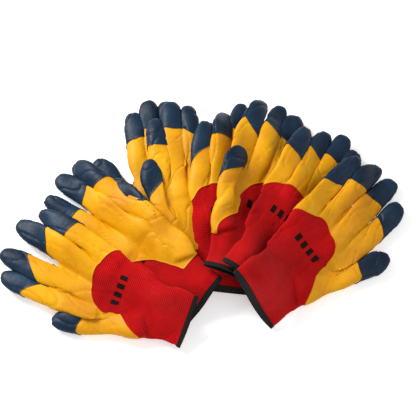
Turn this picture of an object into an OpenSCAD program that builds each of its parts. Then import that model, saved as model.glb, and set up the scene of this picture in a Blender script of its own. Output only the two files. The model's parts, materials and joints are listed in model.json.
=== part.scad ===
// Four pairs of coated knit work gloves, fanned out in one loose pile.
// Millimetres, +Z up. The origin lies on the table, under the cuff of the lowest glove, and the
// fingers point away from the front, towards +Y.

/* [Glove] */
// Thickness of a glove lying flat
glove_t = 9; // [9:0.5:9.5]
// Width of the cuff across the hem
hem_w = 78; // [72:1:80]
// Width of the palm across the knuckles
palm_w = 95; // [92:1:96]
// Distance from the hem to the end of the bare cuff
cuff_l = 62; // [56:1:66]

/* [Knit liner] */
// Wall of the ribbed cuff
cuff_wall = 1.2; // [1:0.1:1.6]
// Wall of the knit hand
hand_wall = 0.9; // [0.7:0.1:1]
// Depth of the hollow that takes the hand, from the hem to the knuckles
pocket_l = 146; // [120:1:148]

/* [Hem binding] */
// Length of cuff that the binding covers
hem_l = 5.5; // [4:0.5:7]
// Thickness of the binding
hem_t = 0.6; // [0.4:0.1:0.7]

/* [Latex coats] */
// Thickness of the first dip, over palm and fingers
coat_t = 0.6; // [0.4:0.1:0.6]
// Thickness of the second dip, over the fingertips
tip_t = 0.6; // [0.4:0.1:0.6]
// Length of a finger that the second dip covers
tip_l = 36; // [28:1:38]
// Slope of the dip line, further down the palm side than the back
dip_slope = 48; // [0:1:50]
// Radius of the bare dome on the back
dome_r = 46; // [40:1:47]

/* [Printed mark] */
// Distance from the hem to the middle of the mark
mark_y = 97; // [90:1:104]
// Width of the mark
mark_w = 44; // [32:1:46]
// Height of its bars
bar_h = 10; // [6:1:11]
// Number of bars
bars = 4; // [3:1:5]

/* [Hidden] */
$fn = 48;
ink_t = 0.2;                            // thickness of the ink
hem_lip = 1.2;                          // the binding stands this far past the knit
skin = coat_t + tip_t;                  // both dips together
nail_r = [11.4, 10, 10, 10, 9.8];       // half widths of thumb, index, middle, ring and little finger
knuckle = [[-34, 68], [-36, 132], [-12, 138], [12, 136], [35, 128]];
dome_at = [5, 84];                      // middle of the bare dome
side_gap = 0.25;                        // room that a fingertip's zone leaves its neighbour
bar_share = 0.55;                       // share of the mark's pitch that a bar fills
end_step = 15;                          // degrees between the points of a finger's rounded end

// Where each glove lies, from the left of the fan to the right: 1 for a right hand or -1 for a
// left, the middle of its hem, how high that is, the way its middle line points (counter-
// clockwise from +X), how far the fingers dip and how far the glove rolls sideways, and then the
// bearing and reach of each fingertip from the hem, thumb first.
GLOVES = [
    [1, [-2, -97], 46.3, 157, 9.2, -4,
        [[184, 165], [167, 242], [159.5, 249], [148.5, 250], [142, 235]]],
    [-1, [18, -68], 40.2, 139, 7.7, -6.6,
        [[113, 176], [131.5, 244], [138.5, 246], [147, 240], [154, 215]]],
    [1, [8, -28], 0, 107, 0, 0,
        [[133, 176], [112.5, 225], [106, 235], [100, 228], [93.5, 205]]],
    [1, [18, -43], 10.5, 99, 0, 1.2,
        [[125, 166], [107.6, 217], [101, 237], [95, 230], [88, 207]]],
    [-1, [40, -53], 22, 86, 0.8, 4.6,
        [[60, 165], [77.3, 228], [83.5, 248], [89.5, 232], [96.6, 213]]],
    [1, [49, -39], 53.2, 72, 8.2, 12,
        [[98, 170], [79.5, 237], [73, 241], [67, 232], [60.5, 207]]],
    [-1, [71, -48], 58.5, 58, 10.9, 9.8,
        [[32, 168], [49, 228], [55.5, 236], [62, 228], [69.5, 218]]],
    [-1, [78, -72], 68.6, 42, 13.1, 6.5,
        [[16, 172], [32, 232], [40, 248], [47.5, 247], [54.5, 232]]]
];

// Local frame of a glove: origin at the middle of the hem, fingers towards +Y, thumb towards -X,
// the palm on z = 0 and the back on z = glove_t.
function bearing(g, i) = (g[6][i][0] - g[3]) * g[0];
function fingertip(g, i) = g[6][i][1] * [-sin(bearing(g, i)), cos(bearing(g, i))];
function heading(g, i) =
    let (d = fingertip(g, i) - knuckle[i])
    atan2(d.y, d.x);

module lay(g) {
    translate([g[1].x, g[1].y, g[2]])
        rotate([-g[4], g[5], g[3] - 90])
            mirror([g[0] < 0 ? 1 : 0, 0, 0])
                children();
}

// A layer of the glove: its children between two heights above the palm's face
module layer(z0, z1) {
    translate([0, 0, z0])
        linear_extrude(z1 - z0)
            children();
}

// Half a turn of points around c, for the rounded end of a finger
function half_turn(c, r, start) =
    [for (a = [start:end_step:start + 180]) c + r * [cos(a), sin(a)]];

module finger_outline(g, i, grow) {
    r = nail_r[i] + grow;
    way = heading(g, i);
    polygon(concat(half_turn(fingertip(g, i), r, way - 90), half_turn(knuckle[i], r, way + 90)));
}

// The palm widens from the wrist to the knuckles
module palm_outline(grow) {
    wrist = hem_w / 2 + 1 - skin + grow;
    side = palm_w / 2 - skin + grow;
    polygon([[-wrist, cuff_l], [wrist, cuff_l], [side, 122], [side - 2, 148],
             [-side + 2, 148], [-side, 122]]);
}

module hand_outline(g, grow) {
    palm_outline(grow);
    for (i = [0:4])
        finger_outline(g, i, grow);
}

module cuff_outline(inset) {
    w0 = hem_w / 2 - inset;
    polygon([[-w0, 0], [w0, 0], [w0 + 1, cuff_l], [-w0 - 1, cuff_l]]);
}

// The part of finger i that the second dip covers, bounded by the slanted dip line
module dip_zone(g, i) {
    w = 2 * (nail_r[i] + skin + side_gap);
    far = 2 * tip_l;
    translate([fingertip(g, i).x, fingertip(g, i).y, glove_t / 2])
        rotate([0, 0, heading(g, i)])
            translate([nail_r[i] - tip_l, 0, 0])
                rotate([0, dip_slope, 0])
                    translate([0, -w / 2, -far])
                        cube([far, w, 2 * far]);
}

// Red seamless knit: ribbed cuff, hand and five fingers in one, hollow up to the knuckles
module knit_liner(g) {
    color("crimson")
        difference() {
            union() {
                layer(0, glove_t)
                    cuff_outline(0);
                layer(skin, glove_t - skin)
                    hand_outline(g, 0);
            }
            layer(cuff_wall, glove_t - cuff_wall)
                translate([-hem_w / 2 + 3, -1])
                    square([hem_w - 6, cuff_l - 3]);
            layer(skin + hand_wall, glove_t - skin - hand_wall)
                translate([-hem_w / 2 + 3, -1])
                    square([hem_w - 6, pocket_l + 1]);
            // the step that the binding sits in
            difference() {
                translate([-hem_w, -1, -1])
                    cube([2 * hem_w, hem_l + 1, glove_t + 2]);
                translate([-hem_w / 2 + hem_t, -2, hem_t])
                    cube([hem_w - 2 * hem_t, hem_l + 3, glove_t - 2 * hem_t]);
            }
        }
}

// Black overlock thread around the mouth of the cuff
module hem_binding() {
    color("black")
        difference() {
            translate([-hem_w / 2, -hem_lip, 0])
                cube([hem_w, hem_l + hem_lip, glove_t]);
            translate([-hem_w / 2 + hem_t, 0, hem_t])
                cube([hem_w - 2 * hem_t, hem_l + 1, glove_t - 2 * hem_t]);
            translate([-hem_w / 2 + 3, -2 * hem_lip, cuff_wall])
                cube([hem_w - 6, hem_l + 2, glove_t - 2 * cuff_wall]);
        }
}

// Yellow first dip: a skin over the hand, open at the cuff and over the dome of the back
module palm_coat(g) {
    color("gold")
        difference() {
            layer(tip_t, glove_t - tip_t)
                hand_outline(g, coat_t);
            layer(skin, glove_t - skin)
                hand_outline(g, 0);
            layer(glove_t - skin - 0.01, glove_t)
                translate(dome_at)
                    circle(dome_r);
            translate([-hem_w, -1, -1])
                cube([2 * hem_w, cuff_l + 1, glove_t + 2]);
        }
}

// Blue second dip: one cap over each fingertip
module fingertip_coats(g) {
    color("midnightblue")
        for (i = [0:4])
            difference() {
                intersection() {
                    layer(0, glove_t)
                        finger_outline(g, i, skin);
                    dip_zone(g, i);
                }
                layer(tip_t, glove_t - tip_t)
                    finger_outline(g, i, coat_t);
            }
}

// A generic printed mark on the bare dome: a row of short bars
module printed_mark() {
    pitch = mark_w / bars;
    color("black")
        layer(glove_t - skin, glove_t - skin + ink_t)
            for (k = [0:bars - 1])
                translate([(k - (bars - 1) / 2) * pitch, mark_y])
                    square([pitch * bar_share, bar_h], center = true);
}

module piece(g, name) {
    lay(g) {
        if (name == "knit_liner") knit_liner(g);
        if (name == "hem_binding") hem_binding();
        if (name == "palm_coat") palm_coat(g);
        if (name == "fingertip_coats") fingertip_coats(g);
        if (name == "printed_mark") printed_mark();
    }
}

module glove_1_knit_liner() piece(GLOVES[0], "knit_liner");
module glove_1_hem_binding() piece(GLOVES[0], "hem_binding");
module glove_1_palm_coat() piece(GLOVES[0], "palm_coat");
module glove_1_fingertip_coats() piece(GLOVES[0], "fingertip_coats");
module glove_1_printed_mark() piece(GLOVES[0], "printed_mark");
module glove_2_knit_liner() piece(GLOVES[1], "knit_liner");
module glove_2_hem_binding() piece(GLOVES[1], "hem_binding");
module glove_2_palm_coat() piece(GLOVES[1], "palm_coat");
module glove_2_fingertip_coats() piece(GLOVES[1], "fingertip_coats");
module glove_2_printed_mark() piece(GLOVES[1], "printed_mark");
module glove_3_knit_liner() piece(GLOVES[2], "knit_liner");
module glove_3_hem_binding() piece(GLOVES[2], "hem_binding");
module glove_3_palm_coat() piece(GLOVES[2], "palm_coat");
module glove_3_fingertip_coats() piece(GLOVES[2], "fingertip_coats");
module glove_3_printed_mark() piece(GLOVES[2], "printed_mark");
module glove_4_knit_liner() piece(GLOVES[3], "knit_liner");
module glove_4_hem_binding() piece(GLOVES[3], "hem_binding");
module glove_4_palm_coat() piece(GLOVES[3], "palm_coat");
module glove_4_fingertip_coats() piece(GLOVES[3], "fingertip_coats");
module glove_4_printed_mark() piece(GLOVES[3], "printed_mark");
module glove_5_knit_liner() piece(GLOVES[4], "knit_liner");
module glove_5_hem_binding() piece(GLOVES[4], "hem_binding");
module glove_5_palm_coat() piece(GLOVES[4], "palm_coat");
module glove_5_fingertip_coats() piece(GLOVES[4], "fingertip_coats");
module glove_5_printed_mark() piece(GLOVES[4], "printed_mark");
module glove_6_knit_liner() piece(GLOVES[5], "knit_liner");
module glove_6_hem_binding() piece(GLOVES[5], "hem_binding");
module glove_6_palm_coat() piece(GLOVES[5], "palm_coat");
module glove_6_fingertip_coats() piece(GLOVES[5], "fingertip_coats");
module glove_6_printed_mark() piece(GLOVES[5], "printed_mark");
module glove_7_knit_liner() piece(GLOVES[6], "knit_liner");
module glove_7_hem_binding() piece(GLOVES[6], "hem_binding");
module glove_7_palm_coat() piece(GLOVES[6], "palm_coat");
module glove_7_fingertip_coats() piece(GLOVES[6], "fingertip_coats");
module glove_7_printed_mark() piece(GLOVES[6], "printed_mark");
module glove_8_knit_liner() piece(GLOVES[7], "knit_liner");
module glove_8_hem_binding() piece(GLOVES[7], "hem_binding");
module glove_8_palm_coat() piece(GLOVES[7], "palm_coat");
module glove_8_fingertip_coats() piece(GLOVES[7], "fingertip_coats");
module glove_8_printed_mark() piece(GLOVES[7], "printed_mark");

glove_1_knit_liner();
glove_1_hem_binding();
glove_1_palm_coat();
glove_1_fingertip_coats();
glove_1_printed_mark();
glove_2_knit_liner();
glove_2_hem_binding();
glove_2_palm_coat();
glove_2_fingertip_coats();
glove_2_printed_mark();
glove_3_knit_liner();
glove_3_hem_binding();
glove_3_palm_coat();
glove_3_fingertip_coats();
glove_3_printed_mark();
glove_4_knit_liner();
glove_4_hem_binding();
glove_4_palm_coat();
glove_4_fingertip_coats();
glove_4_printed_mark();
glove_5_knit_liner();
glove_5_hem_binding();
glove_5_palm_coat();
glove_5_fingertip_coats();
glove_5_printed_mark();
glove_6_knit_liner();
glove_6_hem_binding();
glove_6_palm_coat();
glove_6_fingertip_coats();
glove_6_printed_mark();
glove_7_knit_liner();
glove_7_hem_binding();
glove_7_palm_coat();
glove_7_fingertip_coats();
glove_7_printed_mark();
glove_8_knit_liner();
glove_8_hem_binding();
glove_8_palm_coat();
glove_8_fingertip_coats();
glove_8_printed_mark();
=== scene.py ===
"""Four pairs of coated knit work gloves, fanned out in a loose pile.

One relaxed glove is built and remeshed once. Each glove of the pile is that glove, posed to the
places that the frame gives for its hem and fingertips, creased, and draped over the gloves beneath
it. Its knit, hem binding, latex coats and print are then cut from the draped surface.
"""
import json
import math
import bpy
import numpy as np
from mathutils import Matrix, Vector

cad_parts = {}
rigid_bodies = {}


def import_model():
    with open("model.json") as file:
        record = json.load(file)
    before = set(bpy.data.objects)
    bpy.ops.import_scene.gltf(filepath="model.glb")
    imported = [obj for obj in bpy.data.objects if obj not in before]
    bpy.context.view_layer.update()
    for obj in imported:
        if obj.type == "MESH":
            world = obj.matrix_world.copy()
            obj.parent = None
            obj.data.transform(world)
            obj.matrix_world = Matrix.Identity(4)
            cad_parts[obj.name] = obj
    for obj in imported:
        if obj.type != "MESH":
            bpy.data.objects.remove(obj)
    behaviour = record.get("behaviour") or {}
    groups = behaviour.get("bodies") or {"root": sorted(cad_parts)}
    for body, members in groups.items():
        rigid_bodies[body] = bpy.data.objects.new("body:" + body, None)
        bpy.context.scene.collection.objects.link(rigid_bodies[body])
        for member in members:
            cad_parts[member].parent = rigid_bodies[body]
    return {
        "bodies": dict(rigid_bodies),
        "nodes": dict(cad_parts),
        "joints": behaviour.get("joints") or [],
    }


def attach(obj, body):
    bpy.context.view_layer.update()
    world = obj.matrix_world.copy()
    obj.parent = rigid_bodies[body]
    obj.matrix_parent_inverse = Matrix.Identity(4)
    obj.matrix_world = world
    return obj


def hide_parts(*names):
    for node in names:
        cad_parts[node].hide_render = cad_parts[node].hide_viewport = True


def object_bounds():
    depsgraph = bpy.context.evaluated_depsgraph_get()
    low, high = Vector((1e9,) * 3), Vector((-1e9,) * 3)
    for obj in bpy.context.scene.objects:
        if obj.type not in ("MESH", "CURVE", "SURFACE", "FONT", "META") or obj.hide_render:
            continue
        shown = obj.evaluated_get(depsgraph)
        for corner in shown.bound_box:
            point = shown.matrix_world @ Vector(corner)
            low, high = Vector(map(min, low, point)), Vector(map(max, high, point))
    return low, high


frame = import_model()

cad_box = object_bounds()
MM = 0.001                      # one millimetre; a glove is worked out in millimetres

# ---------------------------------------------------------------- the relaxed glove
# A right hand, palm down: origin at the middle of the hem, +Y to the fingers, thumb to -X.
VOXEL = 2.0                     # size of the remesh
SMOOTHING = 5                   # passes that melt the fingers into the palm
RING_STEP = 3.0                 # distance between the rings of a tube
MOUTH_END = -12.0               # the cuff is built past the hem, then cut open there
HEM_LIP, HEM_LENGTH = 1.0, 4.2  # the binding reaches this far past the knit and over it

# distance from the hem, half width and half thickness
PALM = [(MOUTH_END, 38, 3.2), (0, 38, 3.2), (30, 38, 3.3), (62, 41, 3.8), (95, 46, 5.0),
        (125, 49, 5.6), (146, 48, 5.3), (158, 43, 3.8)]
PALM_POWER, FINGER_POWER = 2.5, 2.15    # of their sections: 2 is an ellipse, more is flatter

# root, heading away from +Y towards the thumb, length to the end, half width, half thickness
FINGERS = {
    "thumb": ((-24, 52), 34, 128, 15.6, 6.6),
    "index": ((-34, 112), 14, 128, 15.2, 6.3),
    "middle": ((-11, 116), 4.5, 136, 15.4, 6.4),
    "ring": ((12, 114), -5.5, 130, 15.0, 6.2),
    "little": ((34, 108), -17, 110, 13.8, 5.8),
}
CLOSED = 0.14                   # how far the fingertips draw together
TIP_LENGTH = 1.9                # length of a rounded fingertip, in half widths
TAPER = 0.06                    # share of its width that a finger loses towards its end
SWAY, RISE = 3.0, 3.0           # how far a finger bends aside and lifts off, at most
KNUCKLE_BEND = 42.0             # length over which a finger turns away from the palm
FLESH = 4.0                     # width of the soft border between two fingers' influence
WEB_PASSES = 70                 # smoothing of the skin between thumb and hand

# ---------------------------------------------------------------- creases
FOLD_STRETCH = 0.4              # folds run along the hand, this much less often than across it
BROAD_DEPTH, FOLD_DEPTH = 0.8, 0.7
CREASE_DEPTH, CREASE_WIDTH = 1.2, 0.14  # the width is a share of its wave's height
JOINTS, JOINT_DEPTH, JOINT_WIDTH = (0.46, 0.72), 0.2, 2.6   # joints as shares of a finger's length
GAP_DEPTH, GAP_WIDTH = 2.3, 3.2         # the groove between two fingers
MOUTH_HALF, MOUTH_DEPTH = 39.0, 38.0    # half width and depth of the opening at the hem

# ---------------------------------------------------------------- coats and print
DOME_AT, DOME_R = np.array([8.0, 86.0]), 50.0    # the bare dome on the back
DOME_NARROW = 0.32              # how much nearer its edge runs beside the thumb's root
DOME_LOW_THUMB, DOME_LOW = 44.0, 84.0   # beside the dome, no first dip nearer to the hem than this
PALM_LINE = 72.0                # where the first dip begins on the palm side
PALM_LINE_OUT, PALM_LINE_THUMB = 34.0, -26.0    # added to it on the outer and the thumb's side
DIP_BACK, DIP_PALM = 43.0, 56.0 # length of a fingertip that the second dip covers
DIP_SLANT = 14.0                # how far the dip line runs off square, at most
KNIT_WALL, COAT, TIP_COAT = 1.2, 0.55, 0.6      # thicknesses
HEM_OUT, HEM_IN = 0.7, 0.6      # the binding stands this far off the knit, on each side
OVERLAP = 6.0                   # the first coat runs on this far under the second
SOAK = 0.9                      # how far a coat soaks into the knit, away from its edge
BEAD, BEAD_ROWS = 0.4, (0.8, 2.0)   # height of the bead along a coat's edge, and its rows of mesh
BARS, MARK_PITCH, BAR_W, BAR_H = 4, 10.5, 5.8, 10.0
MARK_X, MARK_Y = 5.0, 97.0      # the middle of the row of bars
MARK_FOLLOW, MARK_FARTHEST = 0.7, 20    # how far the row moves with a turned dome
INK_TOP, INK_LOW = 0.22, 0.02   # over the knit

# ---------------------------------------------------------------- yarn
UV_UNIT = 100.0                 # millimetres to one unit of the knit's map
ROW_PITCH, WALE_PITCH, THREAD_PITCH = 2.4, 1.5, 1.8

# ---------------------------------------------------------------- each glove's own look
# mouth: how far it stands open; tuck: degrees that the thumb folds in, towards the fingers;
# lift: how far the thumb lies over the hand, or under it; stretch: of the thumb;
# cuff: share of its width that the cuff keeps; dome: how far the bare dome turns to the side;
# low: how much lower the bare dome ends
MOODS = {
    1: dict(mouth=2, tuck=9, lift=-6, stretch=1.0, cuff=0.84, dome=0, low=0),
    2: dict(mouth=3, tuck=20, lift=-2, stretch=1.12, cuff=0.93, dome=30, low=22),
    3: dict(mouth=1, tuck=3, lift=0, stretch=1.12, cuff=1.0, dome=20, low=0),
    4: dict(mouth=1, tuck=15, lift=6, stretch=0.98, cuff=1.0, dome=48, low=0),
    5: dict(mouth=4, tuck=3, lift=-4, stretch=1.0, cuff=1.0, dome=-4, low=0),
    6: dict(mouth=14, tuck=20, lift=6, stretch=0.92, cuff=0.95, dome=8, low=0),
    7: dict(mouth=3, tuck=6, lift=-4, stretch=1.0, cuff=1.0, dome=0, low=0),
    8: dict(mouth=4, tuck=5, lift=0, stretch=1.08, cuff=1.0, dome=0, low=0),
}


def smoothstep(a, b, x):
    t = np.clip((x - a) / (b - a), 0, 1)
    return t * t * (3 - 2 * t)


def unit2(angle):
    """The way a finger points, angle degrees from +Y towards the thumb."""
    return np.array([-math.sin(math.radians(angle)), math.cos(math.radians(angle))])


class Waves:
    """Smooth noise: a sum of plane waves with random directions and phases."""

    def __init__(self, seed, longest, shortest, count=14):
        rng = np.random.default_rng(seed)
        way = rng.normal(size=(count, 3))
        way /= np.linalg.norm(way, axis=1)[:, None]
        length = rng.uniform(shortest, longest, count)
        self.k = way * (2 * math.pi / length)[:, None]
        self.phase = rng.uniform(0, 2 * math.pi, count)
        self.scale = math.sqrt(2 / count)

    def __call__(self, p):
        return np.sin(p @ self.k.T + self.phase).sum(1) * self.scale


# ---------------------------------------------------------------- meshes as arrays
def ring(half_w, half_h, power, count=32):
    """A flat section between an ellipse and a rectangle."""
    a = np.linspace(0, 2 * math.pi, count, endpoint=False)
    c, s = np.cos(a), np.sin(a)
    return np.stack([half_w * np.sign(c) * np.abs(c) ** (2 / power),
                     half_h * np.sign(s) * np.abs(s) ** (2 / power)], 1)


def tube(sections):
    """A closed tube through rings of equal count, each an array of points."""
    n = len(sections[0])
    verts = np.concatenate(sections)
    faces = []
    for i in range(len(sections) - 1):
        for j in range(n):
            k = (j + 1) % n
            faces.append((i * n + j, i * n + k, (i + 1) * n + k, (i + 1) * n + j))
    faces.append(tuple(range(n))[::-1])
    faces.append(tuple((len(sections) - 1) * n + j for j in range(n)))
    return verts, faces


def palm_tube():
    sections = []
    stations = np.array(PALM, float)
    for y in np.arange(MOUTH_END, PALM[-1][0] + 0.1, RING_STEP):
        w, h = (np.interp(y, stations[:, 0], stations[:, i]) for i in (1, 2))
        flat = ring(w, h, PALM_POWER)
        sections.append(np.stack([flat[:, 0], np.full(len(flat), y), flat[:, 1] + h], 1))
    return tube(sections)


def finger_tube(root, heading, length, w, h):
    """A finger: full at the middle joint, a little slimmer at the end, with a round tip."""
    along, across = unit2(heading), unit2(heading - 90)
    sections = []
    tip = TIP_LENGTH * w
    body = list(np.arange(0, length - tip, RING_STEP))
    for t in body + [length - tip * math.cos(a) for a in np.linspace(0, 1.5, 11)]:
        cap = math.sqrt(max(1 - max(0, 1 - (length - t) / tip) ** 2, 0.002))
        taper = 1.0 - TAPER * smoothstep(0.45, 1.0, t / length)
        flat = ring(w * cap * taper, h * cap * taper, FINGER_POWER)
        centre = np.array(root) + along * t
        sections.append(np.stack([centre[0] + flat[:, 0] * across[0],
                                  centre[1] + flat[:, 0] * across[1],
                                  flat[:, 1] + h], 1))
    return tube(sections)


def remeshed(parts):
    """One closed surface round all the parts, as (points, triangles)."""
    verts, faces, base = [], [], 0
    for v, f in parts:
        verts.append(v)
        faces += [tuple(i + base for i in face) for face in f]
        base += len(v)
    mesh = bpy.data.meshes.new("relaxed")
    mesh.from_pydata(np.concatenate(verts).tolist(), [], faces)
    ob = bpy.data.objects.new("relaxed", mesh)
    bpy.context.scene.collection.objects.link(ob)
    remesh = ob.modifiers.new("remesh", "REMESH")
    remesh.mode = "VOXEL"
    remesh.voxel_size = VOXEL
    made = ob.evaluated_get(bpy.context.evaluated_depsgraph_get()).to_mesh()
    made.calc_loop_triangles()
    v = np.zeros(len(made.vertices) * 3)
    made.vertices.foreach_get("co", v)
    t = np.zeros(len(made.loop_triangles) * 3, np.int64)
    made.loop_triangles.foreach_get("vertices", t)
    bpy.data.objects.remove(ob)
    return v.reshape(-1, 3), t.reshape(-1, 3)


def edges_of(tris):
    e = np.concatenate([tris[:, [0, 1]], tris[:, [1, 2]], tris[:, [2, 0]]])
    return np.unique(np.sort(e, 1), axis=0)


def smoothed(v, tris, passes, amount=0.5):
    e = edges_of(tris)
    count = np.bincount(e.ravel(), minlength=len(v)).astype(float)[:, None]
    for _ in range(passes):
        total = np.zeros_like(v)
        for axis in range(3):
            total[:, axis] = (np.bincount(e[:, 0], v[e[:, 1], axis], len(v))
                              + np.bincount(e[:, 1], v[e[:, 0], axis], len(v)))
        v = v + amount * (total / count - v)
    return v


def normals(v, tris):
    n = np.cross(v[tris[:, 1]] - v[tris[:, 0]], v[tris[:, 2]] - v[tris[:, 0]])
    out = np.zeros_like(v)
    for corner in range(3):
        for axis in range(3):
            out[:, axis] += np.bincount(tris[:, corner], n[:, axis], len(v))
    return out / np.maximum(np.linalg.norm(out, axis=1), 1e-9)[:, None]


def clipped(tris, data, keep, both=False):
    """The part of a surface where keep > 0, cut exactly. data has a row for each point.

    With both, the rest stays too, so that an edge of the mesh runs along keep = 0."""
    inside = keep > 0
    e = edges_of(tris)
    crossing = e[inside[e[:, 0]] != inside[e[:, 1]]]
    f0, f1 = keep[crossing[:, 0]], keep[crossing[:, 1]]
    w = np.clip(f0 / (f0 - f1), 0.001, 0.999)[:, None]
    added = data[crossing[:, 0]] * (1 - w) + data[crossing[:, 1]] * w
    size = len(data)
    code = crossing[:, 0] * size + crossing[:, 1]

    def cut(a, b):
        lo, hi = np.minimum(a, b), np.maximum(a, b)
        return size + np.searchsorted(code, lo * size + hi)

    count = inside[tris].sum(1)
    out = [tris[count == 3]] + ([tris[count == 0]] if both else [])
    for wanted in (1, 2):
        t = tris[count == wanted]
        if not len(t):
            continue
        odd = inside[t] if wanted == 1 else ~inside[t]
        turn = odd.argmax(1)
        rows = np.arange(len(t))
        a, b, c = (t[rows, (turn + i) % 3] for i in range(3))
        ab, ca = cut(a, b), cut(c, a)
        if wanted == 1 or both:
            out.append(np.stack([a, ab, ca], 1))
        if wanted == 2 or both:
            out.append(np.stack([ab, b, c], 1))
            out.append(np.stack([ab, c, ca], 1))
    tris = np.concatenate(out)
    data = np.concatenate([data, added])
    used, tris = np.unique(tris, return_inverse=True)
    return tris.reshape(-1, 3), data[used]


def shell(points, normal, tris, outer, inner):
    """A closed skin between two offsets of an open surface, as (points, triangles)."""
    n = len(points)
    directed = np.concatenate([tris[:, [0, 1]], tris[:, [1, 2]], tris[:, [2, 0]]])
    code = directed[:, 0] * n + directed[:, 1]
    back = directed[:, 1] * n + directed[:, 0]
    rim = directed[~np.isin(code, back)]
    top = points + normal * np.reshape(outer, (-1, 1))
    low = points + normal * np.reshape(inner, (-1, 1))
    a, b = rim[:, 0], rim[:, 1]
    walls = np.concatenate([np.stack([b, a, a + n], 1), np.stack([b, a + n, b + n], 1)])
    return np.concatenate([top, low]), np.concatenate([tris, tris[:, ::-1] + n, walls])


# ---------------------------------------------------------------- the frame's gloves
def node_points(node):
    mesh = frame["nodes"][node].data
    co = np.zeros(len(mesh.vertices) * 3)
    mesh.vertices.foreach_get("co", co)
    return co.reshape(-1, 3) / MM


def loose_parts(node):
    """The points of each separate solid of a node."""
    mesh = frame["nodes"][node].data
    points = node_points(node)
    _, place = np.unique(np.round(points, 2), axis=0, return_inverse=True)
    place = place.ravel()
    group = np.arange(place.max() + 1)
    faces = [[place[i] for i in p.vertices] for p in mesh.polygons]
    changed = True
    while changed:
        changed = False
        for face in faces:
            low = min(group[i] for i in face)
            for i in face:
                if group[i] != low:
                    group[i] = low
                    changed = True
    return [points[group[place] == g] for g in np.unique(group)]


class Place:
    """Where the frame lays one glove, in plan."""

    def __init__(self, number):
        hem = node_points(f"glove_{number}_hem_binding")[:, :2]
        caps = loose_parts(f"glove_{number}_fingertip_coats")
        middle = hem.mean(0)
        ahead = np.mean([c[:, :2].mean(0) for c in caps], 0) - middle
        spread = np.linalg.svd(hem - middle, full_matrices=False)[2][0]
        self.y = np.array([-spread[1], spread[0]])
        if self.y @ ahead < 0:
            self.y = -self.y
        self.origin = middle + self.y * (((hem - middle) @ self.y).min() + HEM_LIP)
        reach = [np.linalg.norm(c[:, :2] - self.origin, axis=1) for c in caps]
        ends = [c[r.argmax(), :2] - self.origin for c, r in zip(caps, reach)]
        x = np.array([self.y[1], -self.y[0]])
        ends.sort(key=lambda p: math.atan2(p @ x, p @ self.y))
        lengths = [np.linalg.norm(p) for p in ends]
        self.left = lengths[-1] < lengths[0]
        if self.left:
            ends.reverse()
        self.x = -x if self.left else x
        self.tips = [np.array([p @ self.x, p @ self.y]) for p in ends]
        middle = np.mean(self.tips[1:], 0)[0]
        for tip in self.tips[1:]:
            tip[0] += (middle - tip[0]) * CLOSED

    def world(self, p):
        flat = p[:, :1] * self.x + p[:, 1:2] * self.y + self.origin
        return np.concatenate([flat, p[:, 2:]], 1)


# ---------------------------------------------------------------- pose, creases, drape
def finger_coordinates(p):
    """For each finger: how far each point lies along it and off its middle line."""
    out = []
    for root, heading, length, w, h in FINGERS.values():
        rel = p[:, :2] - np.array(root)
        t = rel @ unit2(heading)
        off = rel @ unit2(heading - 90)
        beyond = np.clip(np.maximum(-t, t - length + w), 0, None)
        out.append((t, off, np.hypot(off, beyond)))
    return out


def posed(p, tips, mood, seed):
    """Turns and stretches each finger towards its fingertip in the frame.

    Gives the moved points, and how much each of them lies in the web beside the thumb."""
    rng = np.random.default_rng(seed)
    where = finger_coordinates(p)
    closeness = np.stack([-d[2] / FLESH for d in where])
    share = np.exp(closeness - closeness.max(0))
    share /= share.sum(0)
    moved = np.zeros_like(p)
    for i, (root, heading, length, _, _) in enumerate(FINGERS.values()):
        t, off, _ = where[i]
        to = tips[i] - np.array(root)
        turn = math.degrees(math.atan2(-to[0], to[1])) - heading - (mood["tuck"] if i == 0 else 0)
        stretch = np.linalg.norm(to) / length * (mood["stretch"] if i == 0 else 1)
        bend = smoothstep(0, KNUCKLE_BEND, t)
        angle = np.radians(heading + turn * bend)
        far = np.clip(t, 0, None) * (1 + (stretch - 1) * bend) + np.clip(t, None, 0)
        sway = rng.uniform(-SWAY, SWAY) * np.sin(math.pi * np.clip(t / length, 0, 1)) * bend
        side = off + sway
        x = root[0] - np.sin(angle) * far + np.cos(angle) * side
        y = root[1] + np.cos(angle) * far + np.sin(angle) * side
        lift = mood["lift"] if i == 0 else rng.uniform(0, RISE)
        z = p[:, 2] + lift * smoothstep(15, 70, t)
        moved += share[i][:, None] * np.stack([x, y, z], 1)
    narrow = 1 - (1 - mood["cuff"]) * (1 - smoothstep(10, 90, p[:, 1]))
    moved[:, 0] *= narrow
    web = smoothstep(0.005, 0.1, share[0]) * (1 - smoothstep(0.9, 0.995, share[0]))
    return moved, web


def half_thickness(rest):
    """Half the thickness of the relaxed palm at each point's distance from the hem."""
    return np.interp(rest[:, 1], [s[0] for s in PALM], [s[2] for s in PALM])


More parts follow.
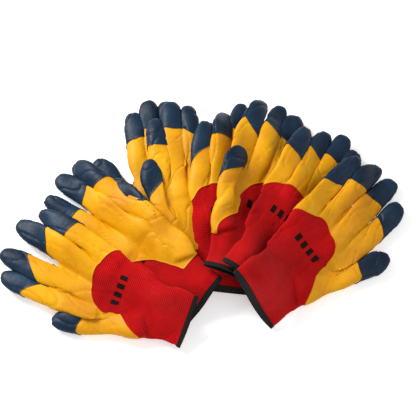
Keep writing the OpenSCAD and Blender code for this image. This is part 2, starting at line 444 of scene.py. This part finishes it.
def creased(p, rest, n, seed, mood):
    """Soft folds, sharper creases and joint wrinkles, worked out on the relaxed glove."""
    drawn = rest * [1, FOLD_STRETCH, 1]
    broad = Waves(seed, 75, 38)(rest)
    fold = Waves(seed + 1, 46, 22)(drawn)
    crease = np.exp(-(Waves(seed + 2, 40, 20)(drawn) / CREASE_WIDTH) ** 2)
    knit = 1 - smoothstep(55, 80, rest[:, 1])
    depth = BROAD_DEPTH * broad + FOLD_DEPTH * fold - CREASE_DEPTH * crease * (1 - 0.7 * knit)
    fingers = list(FINGERS.values())
    where = finger_coordinates(rest)
    for i, (_, _, length, w, _) in enumerate(fingers):
        t, _, away = where[i]
        near = 1 - smoothstep(w, w + 5, away)
        skew = Waves(seed + 5 + i, 30, 14)(rest) * 2
        for joint in JOINTS:
            dent = np.exp(-((t - joint * length + skew) / JOINT_WIDTH) ** 2)
            depth -= JOINT_DEPTH * dent * near
    for one, other in zip(fingers[1:-1], fingers[2:]):
        middle = (np.array(one[0]) + np.array(other[0])) / 2
        way = unit2((one[1] + other[1]) / 2)
        rel = rest[:, :2] - middle
        t, off = rel @ way, rel @ np.array([way[1], -way[0]])
        reach = smoothstep(-2, 38, t) * (1 - smoothstep(52, 60, t))
        depth -= GAP_DEPTH * np.exp(-(off / GAP_WIDTH) ** 2) * reach
    depth *= smoothstep(-2, 12, rest[:, 1])
    out = p + n * depth[:, None]
    thick = half_thickness(rest)
    top = smoothstep(-0.4, 0.6, (rest[:, 2] - thick) / thick)
    arch = (np.clip(1 - (rest[:, 0] / MOUTH_HALF) ** 2, 0, 1)
            * np.exp(-(np.clip(rest[:, 1], 0, None) / MOUTH_DEPTH) ** 2))
    out[:, 2] += mood["mouth"] * top * arch
    return out


class Pile:
    """The height of everything laid so far, on a grid."""
    CELL, MARGIN = 2.5, 60
    DILATE, BLUR = 4, 4         # in cells: how far a glove bridges, and how softly
    SINK = 1.6                  # how far each glove presses into those beneath

    def __init__(self, low, high):
        self.low = np.array(low) - self.MARGIN
        self.shape = tuple(int(s) for s in (np.array(high) + self.MARGIN - self.low) / self.CELL)
        self.top = np.zeros(self.shape)

    @staticmethod
    def shifted(grid, reach, best):
        """The best of each cell's neighbours within reach, along one axis and then the other."""
        for axis in (0, 1):
            grid = best([np.roll(grid, s, axis) for s in range(-reach, reach + 1)])
        return grid

    def support(self):
        """What a soft glove lies on: the heights, bridged and rounded off."""
        wide = self.shifted(self.top, self.DILATE, lambda g: np.max(g, 0))
        for _ in range(2):
            wide = self.shifted(wide, self.BLUR, lambda g: np.mean(g, 0))
        return wide

    def sample(self, grid, xy):
        """The grid's height at each point, between its cells."""
        at = (xy - self.low) / self.CELL
        i = np.clip(at.astype(int), 0, np.array(self.shape) - 2)
        f = at - i
        a, b = grid[i[:, 0], i[:, 1]], grid[i[:, 0] + 1, i[:, 1]]
        c, d = grid[i[:, 0], i[:, 1] + 1], grid[i[:, 0] + 1, i[:, 1] + 1]
        fx, fy = f[:, 0], f[:, 1]
        return (a * (1 - fx) + b * fx) * (1 - fy) + (c * (1 - fx) + d * fx) * fy

    def add(self, points):
        i = ((points[:, :2] - self.low) / self.CELL + 0.5).astype(int)
        heights = np.zeros(self.shape)
        np.maximum.at(heights, (i[:, 0], i[:, 1]), points[:, 2] - self.SINK)
        heights = self.shifted(heights, 1, lambda g: np.max(g, 0))
        self.top = np.maximum(self.top, heights)


# ---------------------------------------------------------------- materials
def new_material(name, colour, roughness):
    mat = bpy.data.materials.new(name)
    mat.use_nodes = True
    nodes = mat.node_tree.nodes
    shader = nodes["Principled BSDF"]
    shader.inputs["Base Color"].default_value = (*colour, 1)
    shader.inputs["Roughness"].default_value = roughness
    return mat, nodes, mat.node_tree.links, shader


def math_node(nodes, links, kind, a, b=None):
    node = nodes.new("ShaderNodeMath")
    node.operation = kind
    for socket, value in zip(node.inputs, (a, b)):
        if value is None:
            continue
        if isinstance(value, (int, float)):
            socket.default_value = value
        else:
            links.new(value, socket)
    return node.outputs[0]


def noise(nodes, links, where, scale, detail=3.0, rough=0.55):
    node = nodes.new("ShaderNodeTexNoise")
    node.inputs["Scale"].default_value = scale
    node.inputs["Detail"].default_value = detail
    node.inputs["Roughness"].default_value = rough
    links.new(where, node.inputs["Vector"])
    return node.outputs["Fac"]


def ramp(nodes, links, fac, stops):
    node = nodes.new("ShaderNodeValToRGB")
    for i, (at, colour) in enumerate(stops):
        e = node.color_ramp.elements[i] if i < 2 else node.color_ramp.elements.new(at)
        e.position = at
        e.color = (*colour, 1)
    links.new(fac, node.inputs["Fac"])
    return node.outputs["Color"]


def bump(nodes, links, height, strength, distance, shader, under=None):
    node = nodes.new("ShaderNodeBump")
    node.inputs["Strength"].default_value = strength
    node.inputs["Distance"].default_value = distance
    links.new(height, node.inputs["Height"])
    if under is not None:
        links.new(under, node.inputs["Normal"])
    links.new(node.outputs["Normal"], shader.inputs["Normal"])
    return node.outputs["Normal"]


def multiply_colour(nodes, links, colour, fac, dark, light):
    """The colour times a grey that goes from dark to light with fac."""
    scale = nodes.new("ShaderNodeMapRange")
    scale.inputs["To Min"].default_value = dark
    scale.inputs["To Max"].default_value = light
    links.new(fac, scale.inputs["Value"])
    mix = nodes.new("ShaderNodeVectorMath")
    mix.operation = "SCALE"
    links.new(colour, mix.inputs[0])
    links.new(scale.outputs["Result"], mix.inputs["Scale"])
    return mix.outputs[0]


def knit_map(nodes, links):
    """The knit's map: a socket for the distance across the glove, and one for it from the hem."""
    uv = nodes.new("ShaderNodeUVMap")
    uv.uv_map = "knit"
    split = nodes.new("ShaderNodeSeparateXYZ")
    links.new(uv.outputs["UV"], split.inputs[0])
    return split.outputs["X"], split.outputs["Y"]


def stripes(nodes, links, socket, pitch):
    """A wave from -1 to 1 that repeats after pitch millimetres."""
    turned = math_node(nodes, links, "MULTIPLY", socket, 2 * math.pi * UV_UNIT / pitch)
    return math_node(nodes, links, "SINE", turned)


def levelled(nodes, links, wave, height):
    """The wave round 0.5, as high as height to each side."""
    return math_node(nodes, links, "ADD", math_node(nodes, links, "MULTIPLY", wave, height), 0.5)


def knit_material():
    """Red knit: rows parallel to the hem, fine wales across them, soft fuzz and faded patches; the
    stitches carry painted shade in their grooves and a painted highlight on their crests.
    """
    mat, nodes, links, shader = new_material("knit_red", (0.62, 0.01, 0.02), 0.85)
    across, along = knit_map(nodes, links)
    obj = nodes.new("ShaderNodeTexCoord").outputs["Object"]
    rows = stripes(nodes, links, along, ROW_PITCH)
    wales = stripes(nodes, links, across, WALE_PITCH)
    stitch = math_node(nodes, links, "ADD", rows, math_node(nodes, links, "MULTIPLY", wales, 0.6))
    level = levelled(nodes, links, stitch, 0.3)
    patches = noise(nodes, links, obj, 28, 3)
    base = ramp(nodes, links, patches, [(0.3, (0.40, 0.0, 0.001)),
                                        (0.55, (0.54, 0.0005, 0.002)),
                                        (0.75, (0.62, 0.004, 0.008))])
    # painted shade and highlight: the red drops to half in the grooves between stitches and rises
    # on their crests, following the stitch height of the bump
    colour = multiply_colour(nodes, links, base, level, 0.5, 1.2)
    links.new(colour, shader.inputs["Base Color"])
    fuzz = noise(nodes, links, obj, 1500, 2)
    normal = bump(nodes, links, fuzz, 0.25, 0.0004, shader)
    bump(nodes, links, level, 0.9, 0.0006, shader, normal)
    shader.inputs["Sheen Weight"].default_value = 0.06
    shader.inputs["Sheen Roughness"].default_value = 0.5
    shader.inputs["Specular IOR Level"].default_value = 0.12
    return mat


def latex_material(name, deep, mid, pale, roughness):
    """Dipped latex: a satin crinkled skin, a little uneven in depth of colour, with painted shade
    in the crinkle's hollows and a painted highlight on its crests.
    """
    mat, nodes, links, shader = new_material(name, mid, roughness)
    obj = nodes.new("ShaderNodeTexCoord").outputs["Object"]
    cloud = noise(nodes, links, obj, 22, 4)
    base = ramp(nodes, links, cloud, [(0.32, deep), (0.52, mid), (0.74, pale)])
    crinkle = noise(nodes, links, obj, 240, 4, 0.6)
    # painted shade and highlight: the colour is darker in the crinkle's hollows and lighter on its
    # crests, following the height of the bump
    colour = multiply_colour(nodes, links, base, crinkle, 0.86, 1.1)
    links.new(colour, shader.inputs["Base Color"])
    rough = nodes.new("ShaderNodeMapRange")
    rough.inputs["To Min"].default_value = roughness - 0.1
    rough.inputs["To Max"].default_value = roughness + 0.12
    links.new(crinkle, rough.inputs["Value"])
    links.new(rough.outputs["Result"], shader.inputs["Roughness"])
    pores = noise(nodes, links, obj, 900, 2)
    normal = bump(nodes, links, pores, 0.2, 0.0003, shader)
    bump(nodes, links, crinkle, 0.35, 0.0012, shader, normal)
    shader.inputs["Specular IOR Level"].default_value = 0.22
    return mat


def hem_material():
    """Black overlock thread: slanting stitches round the mouth, with painted shade between the
    stitches and a painted highlight on their crests.
    """
    mat, nodes, links, shader = new_material("hem_black", (0.012, 0.01, 0.01), 0.8)
    across, along = knit_map(nodes, links)
    slant = math_node(nodes, links, "ADD", across,
                      math_node(nodes, links, "MULTIPLY", along, 0.35))
    level = levelled(nodes, links, stripes(nodes, links, slant, THREAD_PITCH), 0.5)
    # painted shade and highlight: the thread is darker in the grooves and lighter on the crests of
    # the stitches, following the height of the bump
    base = ramp(nodes, links, level, [(0.1, (0.003, 0.003, 0.003)), (0.9, (0.022, 0.02, 0.02))])
    links.new(base, shader.inputs["Base Color"])
    bump(nodes, links, level, 0.8, 0.0006, shader)
    shader.inputs["Specular IOR Level"].default_value = 0.15
    return mat


def print_material():
    """Black print on the knit, broken where the yarn stands up."""
    mat, nodes, links, shader = new_material("print_black", (0.03, 0.006, 0.008), 0.7)
    obj = nodes.new("ShaderNodeTexCoord").outputs["Object"]
    wear = noise(nodes, links, obj, 1200, 2)
    base = ramp(nodes, links, wear, [(0.35, (0.004, 0.002, 0.002)), (0.7, (0.02, 0.003, 0.004))])
    links.new(base, shader.inputs["Base Color"])
    bump(nodes, links, wear, 0.3, 0.0003, shader)
    shader.inputs["Specular IOR Level"].default_value = 0.1
    return mat


# ---------------------------------------------------------------- pieces
# Columns of the table that is cut together with a surface: the point, its normal, its place on the
# relaxed glove, and how far it lies inside the first dip and inside the second
P, N, ACROSS, ALONG, UP, HAND, DIP = slice(0, 3), slice(3, 6), 6, 7, 8, 9, 10
OUTSIDE = -1e3                  # a point that no fingertip's dip can reach


def piece(name, points, tris, uv, material, number, flip):
    """One mesh piece of a glove, on that glove's body."""
    if flip:
        tris = tris[:, ::-1]
    mesh = bpy.data.meshes.new(name)
    mesh.vertices.add(len(points))
    mesh.vertices.foreach_set("co", (points * MM).ravel())
    mesh.loops.add(len(tris) * 3)
    mesh.loops.foreach_set("vertex_index", tris.ravel().astype(np.int32))
    mesh.polygons.add(len(tris))
    mesh.polygons.foreach_set("loop_start", np.arange(0, len(tris) * 3, 3, dtype=np.int32))
    mesh.update(calc_edges=True)
    layer = mesh.uv_layers.new(name="knit")
    layer.data.foreach_set("uv", (uv[tris.ravel()] / UV_UNIT).ravel())
    mesh.validate()
    mesh.shade_smooth()
    mesh.set_sharp_from_angle(angle=math.radians(55))
    mesh.materials.append(material)
    ob = bpy.data.objects.new(name, mesh)
    bpy.context.scene.collection.objects.link(ob)
    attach(ob, f"glove_{number}")
    return ob


def dip_depths(rest, mood, seed):
    """How far each point lies inside the first dip and inside the second; negative is outside."""
    thick = half_thickness(rest)
    back = smoothstep(-0.9, -0.1, (rest[:, 2] - thick) / thick)
    wander = Waves(seed + 31, 50, 18)(rest)
    turned = (PALM_LINE + PALM_LINE_OUT * smoothstep(15, 45, rest[:, 0])
              + PALM_LINE_THUMB * smoothstep(15, 45, -rest[:, 0]))
    side = rest[:, 0] - DOME_AT[0] - mood["dome"]
    side = np.where(side < 0, side * (1 + DOME_NARROW * smoothstep(45, 95, rest[:, 1])), side)
    ahead = np.maximum(rest[:, 1] - DOME_AT[1] + mood["low"], 0)
    dome = np.hypot(side, ahead) - DOME_R - 1.2 * wander
    dome = np.minimum(dome, rest[:, 1] - np.where(rest[:, 0] < 0, DOME_LOW_THUMB, DOME_LOW))
    hand = back * dome + (1 - back) * (rest[:, 1] - turned - 2 * wander)
    dip = np.full(len(rest), OUTSIDE)
    slants = np.random.default_rng(seed + 41).uniform(-DIP_SLANT, DIP_SLANT, len(FINGERS))
    where = finger_coordinates(rest)
    for i, (_, _, length, w, h) in enumerate(FINGERS.values()):
        t, off, away = where[i]
        up = smoothstep(-0.8, 0.8, (rest[:, 2] - h) / h)
        cover = DIP_BACK * up + DIP_PALM * (1 - up) + wander + slants[i] * off / w
        mine = cover - (length - t)
        dip = np.maximum(dip, np.where(away < w + 6, mine, OUTSIDE))
    return hand, dip


def printed_bars(tris, data, shift):
    """The skins of all bars of the print, as (points, triangles, map)."""
    points, faces, uv, base = [], [], [], 0
    above = PALM[0][2]
    for k in range(BARS):
        middle = (k - (BARS - 1) / 2) * MARK_PITCH + shift
        t, d = tris, data
        for field in (lambda d: d[:, ACROSS] - middle + BAR_W / 2,
                      lambda d: middle + BAR_W / 2 - d[:, ACROSS],
                      lambda d: d[:, ALONG] - MARK_Y + BAR_H / 2,
                      lambda d: MARK_Y + BAR_H / 2 - d[:, ALONG],
                      lambda d: d[:, UP] - above):
            t, d = clipped(t, d, field(d))
        v, f = shell(d[:, P], d[:, N], t, INK_TOP, INK_LOW)
        points.append(v)
        faces.append(f + base)
        uv += [d[:, ACROSS:UP]] * 2
        base += len(v)
    return np.concatenate(points), np.concatenate(faces), np.concatenate(uv)


def lay_glove(number, relaxed, pile, materials):
    """Drapes one glove over the pile, cuts its pieces from it, and adds it to the pile."""
    rest, tris = relaxed
    place, mood = Place(number), MOODS[number]
    seed = 100 * number
    p, folded = posed(rest, place.tips, mood, seed)
    p += (smoothed(p, tris, WEB_PASSES) - p) * folded[:, None]
    p = creased(p, rest, normals(p, tris), seed + 11, mood)
    p[:, 2] -= p[:, 2].min()
    p = place.world(p)
    p[:, 2] += pile.sample(pile.support(), p[:, :2]) + COAT + TIP_COAT
    n = normals(p, tris) * (-1 if place.left else 1)
    pile.add(p[rest[:, 1] > -HEM_LIP] + [0, 0, COAT + TIP_COAT])

    hand, dip = dip_depths(rest, mood, seed)
    data = np.concatenate([p, n, rest, np.stack([hand, dip], 1)], 1)
    name = f"glove_{number}"

    def skin(label, slot, fields, outer, inner, edge=None):
        """The piece where all fields are over 0; edge is the column whose bead needs fine rows."""
        t, d = tris, data
        for step in BEAD_ROWS if edge else ():
            t, d = clipped(t, d, d[:, edge] - step, both=True)
        for field in fields:
            t, d = clipped(t, d, field(d))
        v, f = shell(d[:, P], d[:, N], t, outer(d), inner(d))
        uv = np.concatenate([d[:, ACROSS:UP]] * 2)
        return piece(f"{name}_{label}_soft", v, f, uv, materials[slot], number, place.left), slot

    def flat(value):
        return lambda d: np.full(len(d), value)

    def lip(field, thickness, under=0.0):
        """Thickness of a coat, with the bead that a dip leaves along its edge."""
        return lambda d: under + thickness + BEAD * (1 - smoothstep(0, BEAD_ROWS[-1], d[:, field]))

    def wall(d):
        """The liner's inner side: a full wall at the mouth, thin where it cannot be seen."""
        return -KNIT_WALL * (1 - 0.75 * smoothstep(8, 30, d[:, ALONG]))

    def soaked(field, start):
        """A coat's inner side: on the knit at its edge, soaked through it further on."""
        return lambda d: start - SOAK * smoothstep(2, 6, d[:, field])

    made = {
        "knit_liner": skin("knit", "knit_red", [lambda d: d[:, ALONG]], flat(0.0), wall),
        "hem_binding": skin("hem", "hem_black",
                            [lambda d: d[:, ALONG] + HEM_LIP,
                             lambda d: HEM_LENGTH - d[:, ALONG]],
                            flat(HEM_OUT), flat(-KNIT_WALL - HEM_IN)),
        "palm_coat": skin("coat", "latex_yellow",
                          [lambda d: d[:, HAND], lambda d: OVERLAP - d[:, DIP]],
                          lip(HAND, COAT), soaked(HAND, 0.03), HAND),
        "fingertip_coats": skin("tips", "latex_blue", [lambda d: d[:, DIP]],
                                lip(DIP, TIP_COAT, COAT), soaked(DIP, COAT * 0.5), DIP),
    }
    shift = min(MARK_FOLLOW * mood["dome"], MARK_FARTHEST) + MARK_X
    made["printed_mark"] = piece(f"{name}_print_soft", *printed_bars(tris, data, shift),
                                 materials["print_black"], number, place.left), "print_black"
    for node, (ob, slot) in made.items():
        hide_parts(f"{name}_{node}")


def build_gloves():
    """Lays the gloves from the lowest up: the frame's joints tell which lies on which."""
    materials = {
        "knit_red": knit_material(),
        "hem_black": hem_material(),
        "latex_yellow": latex_material("latex_yellow", (0.60, 0.235, 0.0), (0.71, 0.315, 0.0),
                                       (0.77, 0.39, 0.0), 0.5),
        "latex_blue": latex_material("latex_blue", (0.002, 0.010, 0.025),
                                     (0.004, 0.018, 0.042), (0.010, 0.036, 0.072), 0.44),
        "print_black": print_material(),
    }
    parts = [palm_tube()] + [finger_tube(*finger) for finger in FINGERS.values()]
    points, tris = remeshed(parts)
    relaxed = smoothed(points, tris, SMOOTHING), tris
    pile = Pile(*([c / MM for c in corner[:2]] for corner in cad_box))
    beneath = {j["child"]: j["parent"] for j in frame["joints"]}

    def depth(body):
        return 0 if body not in beneath else 1 + depth(beneath[body])

    for body in sorted(frame["bodies"], key=lambda b: (depth(b), b)):
        lay_glove(int(body.split("_")[1]), relaxed, pile, materials)


# ---------------------------------------------------------------- stage
# Lengths are in metres, and places are from the middle of the CAD box, on the floor
FLOOR_HALF, FLOOR_DROP, FLOOR_GLOW = 3.0, 0.0006, 0.4
SKY = 0.48
LIGHTS = [("key", (-0.75, 0.55, 0.85), 18, 0.5),        # name, place, power, width
          ("fill", (0.9, -0.6, 1.3), 7, 1.2)]
AIM = (0.006, 0.018, 0.02)
ELEVATION, DISTANCE, VIEW_WIDTH = 72, 2.0, 0.534        # the elevation is in degrees
SENSOR = 36                     # width of the camera's sensor, in its own millimetres


def build_stage():
    """A pale floor, soft studio light and a camera above the front of the pile."""
    corners = [(x * FLOOR_HALF, y * FLOOR_HALF, -FLOOR_DROP)
               for x, y in ((-1, -1), (1, -1), (1, 1), (-1, 1))]
    mesh = bpy.data.meshes.new("floor")
    mesh.from_pydata(corners, [], [(0, 1, 2, 3)])
    floor = bpy.data.objects.new("floor", mesh)
    bpy.context.scene.collection.objects.link(floor)
    mat, _, _, shader = new_material("floor_pale", (0.92, 0.92, 0.92), 0.8)
    shader.inputs["Emission Color"].default_value = (1, 1, 1, 1)
    shader.inputs["Emission Strength"].default_value = FLOOR_GLOW
    mesh.materials.append(mat)
    low, high = cad_box
    x, y = (low.x + high.x) / 2, (low.y + high.y) / 2
    middle = Vector((x, y, 0))
    for name, at, power, width in LIGHTS:
        light = bpy.data.lights.new(name, "AREA")
        light.energy, light.size = power, width
        ob = bpy.data.objects.new(name, light)
        ob.location = middle + Vector(at)
        ob.rotation_euler = (-Vector(at)).to_track_quat("-Z", "Y").to_euler()
        bpy.context.scene.collection.objects.link(ob)
    world = bpy.data.worlds.new("studio")
    world.use_nodes = True
    world.node_tree.nodes["Background"].inputs["Color"].default_value = (1, 1, 1, 1)
    world.node_tree.nodes["Background"].inputs["Strength"].default_value = SKY
    bpy.context.scene.world = world
    bpy.context.scene.view_settings.view_transform = "Standard"

    elevation = math.radians(ELEVATION)
    aim = Vector((x + AIM[0], y + AIM[1], AIM[2]))
    camera = bpy.data.cameras.new("camera")
    camera.sensor_width = SENSOR
    camera.lens = SENSOR * DISTANCE / VIEW_WIDTH
    ob = bpy.data.objects.new("camera", camera)
    away = Vector((0, -math.cos(elevation), math.sin(elevation))) * DISTANCE
    ob.location = aim + away
    ob.rotation_euler = (-away).to_track_quat("-Z", "Y").to_euler()
    bpy.context.scene.collection.objects.link(ob)
    bpy.context.scene.camera = ob


build_gloves()
build_stage()
bpy.context.view_layer.update()
